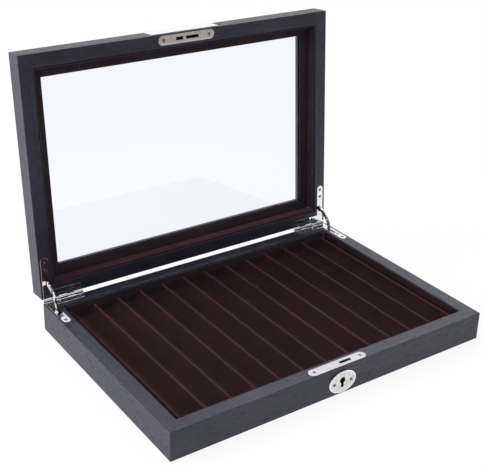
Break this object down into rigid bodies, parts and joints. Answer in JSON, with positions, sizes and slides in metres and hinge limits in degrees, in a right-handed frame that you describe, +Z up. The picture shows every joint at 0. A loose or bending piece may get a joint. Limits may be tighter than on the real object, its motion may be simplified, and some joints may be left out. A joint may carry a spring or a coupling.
{
  "type": "pen display case",
  "caption": "Shallow black wooden case with velvet pen channels and a glazed hinged lid, held open by curved hinge stays and locked by a key.",
  "frame": {"origin": "centre of the case's rectangle, on its underside", "axes": "+X to the right along the front as seen from the front, +Y from the front to the hinges, +Z up; stored open"},
  "size_m": [0.34, 0.2747, 0.2633],
  "materials": {
    "black_wood": "black stained open-grain wood, satin",
    "panel_wood": "plain board",
    "velvet": "dark brown velvet pile",
    "felt": "black felt",
    "glass": "clear polished glass",
    "nickel": "polished nickel plate",
    "lock_steel": "plain sheet steel"
  },
  "bodies": {
    "base": {"base_back_liner": "velvet", "base_back_rail": "black_wood", "base_front_liner": "velvet", "base_front_rail": "black_wood", "base_hinge_screws": "nickel", "base_left_liner": "velvet", "base_left_rail": "black_wood", "base_right_liner": "velvet", "base_right_rail": "black_wood", "bottom_panel": "panel_wood", "escutcheon": "nickel", "escutcheon_pins": "nickel", "hinge_base_leaf_left": "nickel", "hinge_base_leaf_right": "nickel", "hinge_pin_left": "nickel", "hinge_pin_right": "nickel", "lock_case": "lock_steel", "lock_selvedge": "nickel", "pen_tray": "velvet", "selvedge_screws": "nickel", "underside_felt": "felt"},
    "lid": {"front_plate": "nickel", "glass_pane": "glass", "glass_retainer_back": "velvet", "glass_retainer_front": "velvet", "glass_retainer_left": "velvet", "glass_retainer_right": "velvet", "hinge_lid_leaf_left": "nickel", "hinge_lid_leaf_right": "nickel", "keeper_screws": "nickel", "lid_back_liner": "velvet", "lid_back_rail": "black_wood", "lid_front_liner": "velvet", "lid_front_rail": "black_wood", "lid_hinge_screws": "nickel", "lid_left_liner": "velvet", "lid_left_rail": "black_wood", "lid_right_liner": "velvet", "lid_right_rail": "black_wood", "lock_keeper": "nickel"},
    "stay_left": {"hinge_stay_left": "nickel"},
    "stay_right": {"hinge_stay_right": "nickel"},
    "claw": {"lock_claw": "lock_steel"}
  },
  "joints": [
    {"name": "lid_hinge", "type": "hinge", "parent": "base", "child": "lid", "pos_m": [0, 0.1188, 0.02785], "axis": [1, 0, 0], "range_deg": [0, 94.4]},
    {"name": "stay_left_turn", "type": "hinge", "parent": "base", "child": "stay_left", "pos_m": [0, 0.1188, 0.02785], "axis": [1, 0, 0], "range_deg": [0, 56.64]},
    {"name": "stay_right_turn", "type": "hinge", "parent": "base", "child": "stay_right", "pos_m": [0, 0.1188, 0.02785], "axis": [1, 0, 0], "range_deg": [0, 56.64]},
    {"name": "lock_turn", "type": "hinge", "parent": "base", "child": "claw", "pos_m": [0.0016, -0.1107, 0.0144], "axis": [0, -1, 0], "range_deg": [0, 82]}
  ],
  "couplings": [
    {"joint": "stay_left_turn", "follows": "lid_hinge", "ratio": 0.6},
    {"joint": "stay_right_turn", "follows": "lid_hinge", "ratio": 0.6}
  ]
}
